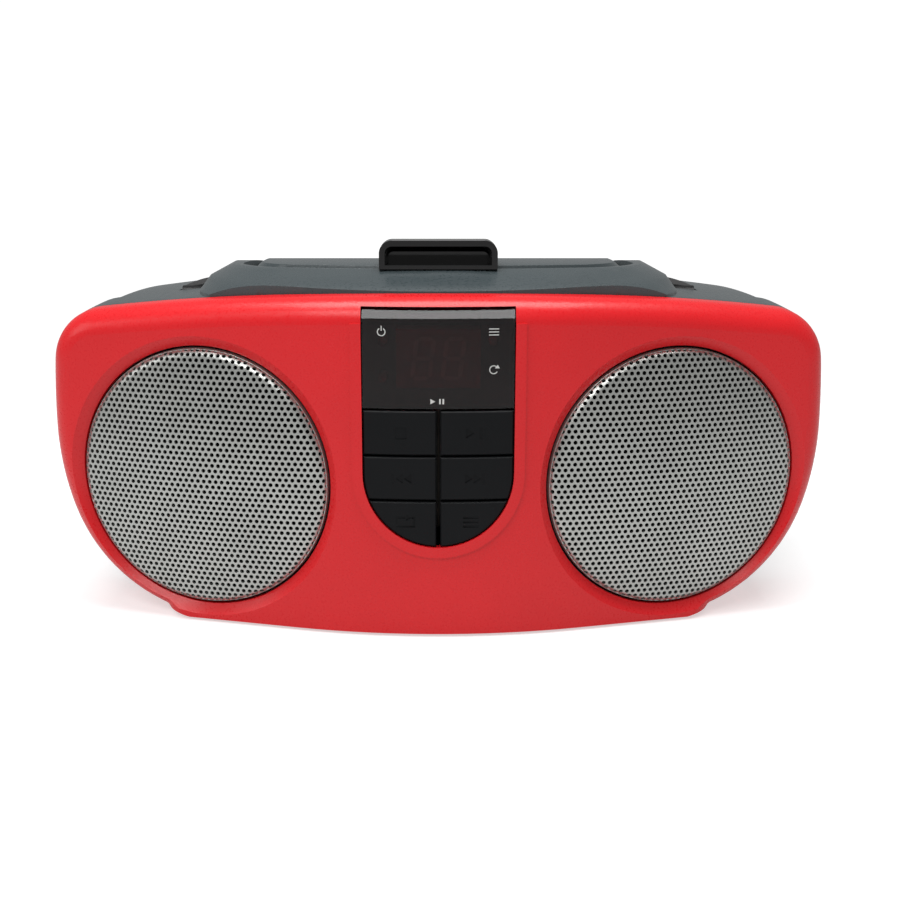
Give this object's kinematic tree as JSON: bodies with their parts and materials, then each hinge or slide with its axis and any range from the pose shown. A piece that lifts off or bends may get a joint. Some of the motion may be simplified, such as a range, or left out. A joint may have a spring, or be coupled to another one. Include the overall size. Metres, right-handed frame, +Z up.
{
  "type": "portable cd player",
  "caption": "Portable disc player with two speakers: bowed front with key panel and display, lift-up disc lid, folding carry handle, antenna and battery bay.",
  "frame": {"origin": "centre of the footprint, on the surface the feet stand on", "axes": "+X to the right seen from the front, +Y to the rear, +Z up"},
  "size_m": [0.2496, 0.208, 0.1218],
  "materials": {
    "red_plastic": "satin red moulded plastic",
    "charcoal_plastic": "dark charcoal moulded plastic, satin",
    "black_plastic": "black moulded plastic",
    "gloss_black": "glossy black plastic",
    "smoked_lens": "dark smoked acrylic, polished",
    "silver_mesh": "silver painted perforated sheet",
    "steel": "bright steel",
    "chrome": "polished chrome plate",
    "ferrite": "dark ferrite",
    "cone_paper": "black pressed paper",
    "rubber": "black rubber",
    "board": "brown laminate with solder mask",
    "led_red": "unlit red LED moulding",
    "white_plastic": "natural nylon",
    "lens_glass": "coated glass",
    "brass": "brass",
    "key_plastic": "black moulded keys, fine satin"
  },
  "bodies": {
    "cabinet": {"front_shell": "red_plastic", "rear_cabinet": "charcoal_plastic", "top_cover": "charcoal_plastic", "rubber_feet": "rubber", "display_lens": "smoked_lens", "led_display": "led_red", "control_board": "board", "indicator_leds": "led_red", "key_switches": "black_plastic", "grille_left": "silver_mesh", "grille_right": "silver_mesh", "speaker_frame_left": "steel", "speaker_frame_right": "steel", "speaker_cone_left": "cone_paper", "speaker_cone_right": "cone_paper", "speaker_magnet_left": "ferrite", "speaker_magnet_right": "ferrite", "lid_hinge_pins": "steel", "cd_chassis": "black_plastic", "chassis_grommets": "rubber", "spindle_motor": "steel", "guide_rods": "chrome", "sled_motor": "steel", "handle_pins": "steel", "volume_pot": "steel", "tuning_capacitor": "white_plastic", "slide_switches": "steel", "main_board": "board", "transformer": "ferrite", "mains_inlet": "black_plastic", "audio_jack": "chrome", "battery_contacts": "steel", "case_screws": "steel"},
    "key_stop": {"key_stop": "key_plastic"},
    "key_play": {"key_play": "key_plastic"},
    "key_back": {"key_back": "key_plastic"},
    "key_forward": {"key_forward": "key_plastic"},
    "key_repeat": {"key_repeat": "key_plastic"},
    "key_program": {"key_program": "key_plastic"},
    "cd_lid": {"cd_lid": "charcoal_plastic", "lid_tab": "gloss_black", "clamp_retainer": "black_plastic"},
    "disc_clamp": {"disc_clamp": "white_plastic"},
    "turntable": {"turntable": "black_plastic"},
    "laser_sled": {"laser_sled": "black_plastic", "laser_lens": "lens_glass"},
    "sled_gear": {"sled_gear": "white_plastic"},
    "motor_pinion": {"motor_pinion": "brass"},
    "carry_handle": {"carry_handle": "black_plastic"},
    "volume_knob": {"volume_knob": "black_plastic"},
    "tuning_knob": {"tuning_knob": "black_plastic"},
    "function_slider": {"function_slider": "black_plastic"},
    "band_slider": {"band_slider": "black_plastic"},
    "battery_door": {"battery_door": "charcoal_plastic"},
    "antenna_knuckle": {"antenna_knuckle": "chrome"},
    "antenna_outer": {"antenna_outer": "chrome"},
    "antenna_middle": {"antenna_middle": "chrome"},
    "antenna_tip": {"antenna_tip": "chrome"}
  },
  "joints": [
    {"name": "key_stop_press", "type": "slide", "parent": "cabinet", "child": "key_stop", "axis": [0, 1, 0], "range_m": [0, 0.001], "stiffness_N_per_m": 150},
    {"name": "key_play_press", "type": "slide", "parent": "cabinet", "child": "key_play", "axis": [0, 1, 0], "range_m": [0, 0.001], "stiffness_N_per_m": 150},
    {"name": "key_back_press", "type": "slide", "parent": "cabinet", "child": "key_back", "axis": [0, 1, 0], "range_m": [0, 0.001], "stiffness_N_per_m": 150},
    {"name": "key_forward_press", "type": "slide", "parent": "cabinet", "child": "key_forward", "axis": [0, 1, 0], "range_m": [0, 0.001], "stiffness_N_per_m": 150},
    {"name": "key_repeat_press", "type": "slide", "parent": "cabinet", "child": "key_repeat", "axis": [0, 1, 0], "range_m": [0, 0.001], "stiffness_N_per_m": 150},
    {"name": "key_program_press", "type": "slide", "parent": "cabinet", "child": "key_program", "axis": [0, 1, 0], "range_m": [0, 0.001], "stiffness_N_per_m": 150},
    {"name": "lid_hinge", "type": "hinge", "parent": "cabinet", "child": "cd_lid", "pos_m": [0, 0.061, 0.095], "axis": [-1, 0, 0], "range_deg": [0, 75]},
    {"name": "clamp_spin", "type": "hinge", "parent": "cd_lid", "child": "disc_clamp", "pos_m": [0, -0.012, 0.102], "axis": [0, 0, 1], "continuous": true},
    {"name": "spindle_spin", "type": "hinge", "parent": "cabinet", "child": "turntable", "pos_m": [0, -0.012, 0.09], "axis": [0, 0, 1], "continuous": true},
    {"name": "sled_slide", "type": "slide", "parent": "cabinet", "child": "laser_sled", "axis": [0, -1, 0], "range_m": [0, 0.031]},
    {"name": "sled_gear_turn", "type": "hinge", "parent": "cabinet", "child": "sled_gear", "pos_m": [0.03215, -0.035, 0.078], "axis": [0, 0, 1], "range_deg": [0, 355.73]},
    {"name": "pinion_turn", "type": "hinge", "parent": "cabinet", "child": "motor_pinion", "pos_m": [0.03215, -0.02135, 0.076], "axis": [0, 0, -1], "range_deg": [0, 1564.03]},
    {"name": "handle_pivot", "type": "hinge", "parent": "cabinet", "child": "carry_handle", "pos_m": [0, -0.046, 0.10087], "axis": [1, 0, 0], "range_deg": [0, 90]},
    {"name": "volume_turn", "type": "hinge", "parent": "cabinet", "child": "volume_knob", "pos_m": [-0.118, -0.01, 0.066], "axis": [-1, 0, 0], "range_deg": [0, 300]},
    {"name": "tuning_turn", "type": "hinge", "parent": "cabinet", "child": "tuning_knob", "pos_m": [0.118, -0.01, 0.066], "axis": [1, 0, 0], "range_deg": [0, 180]},
    {"name": "function_slide", "type": "slide", "parent": "cabinet", "child": "function_slider", "axis": [0, 1, 0], "range_m": [0, 0.008]},
    {"name": "band_slide", "type": "slide", "parent": "cabinet", "child": "band_slider", "axis": [0, 1, 0], "range_m": [0, 0.008]},
    {"name": "battery_door_hinge", "type": "hinge", "parent": "cabinet", "child": "battery_door", "pos_m": [0, 0.1026, 0.0086], "axis": [-1, 0, 0], "range_deg": [0, 90]},
    {"name": "antenna_swivel", "type": "hinge", "parent": "cabinet", "child": "antenna_knuckle", "pos_m": [0.094, 0.0997, 0.077], "axis": [0, 1, 0], "range_deg": [0, 180]},
    {"name": "antenna_tilt", "type": "hinge", "parent": "antenna_knuckle", "child": "antenna_outer", "pos_m": [0.094, 0.0997, 0.077], "axis": [0, 0, -1], "range_deg": [0, 85]},
    {"name": "antenna_extend", "type": "slide", "parent": "antenna_outer", "child": "antenna_middle", "axis": [-1, 0, 0], "range_m": [0, 0.105]},
    {"name": "antenna_tip_extend", "type": "slide", "parent": "antenna_middle", "child": "antenna_tip", "axis": [-1, 0, 0], "range_m": [0, 0.1]}
  ],
  "couplings": [
    {"joint": "sled_gear_turn", "follows": "sled_slide", "rad_per_m": 200},
    {"joint": "pinion_turn", "follows": "sled_slide", "rad_per_m": 880}
  ]
}
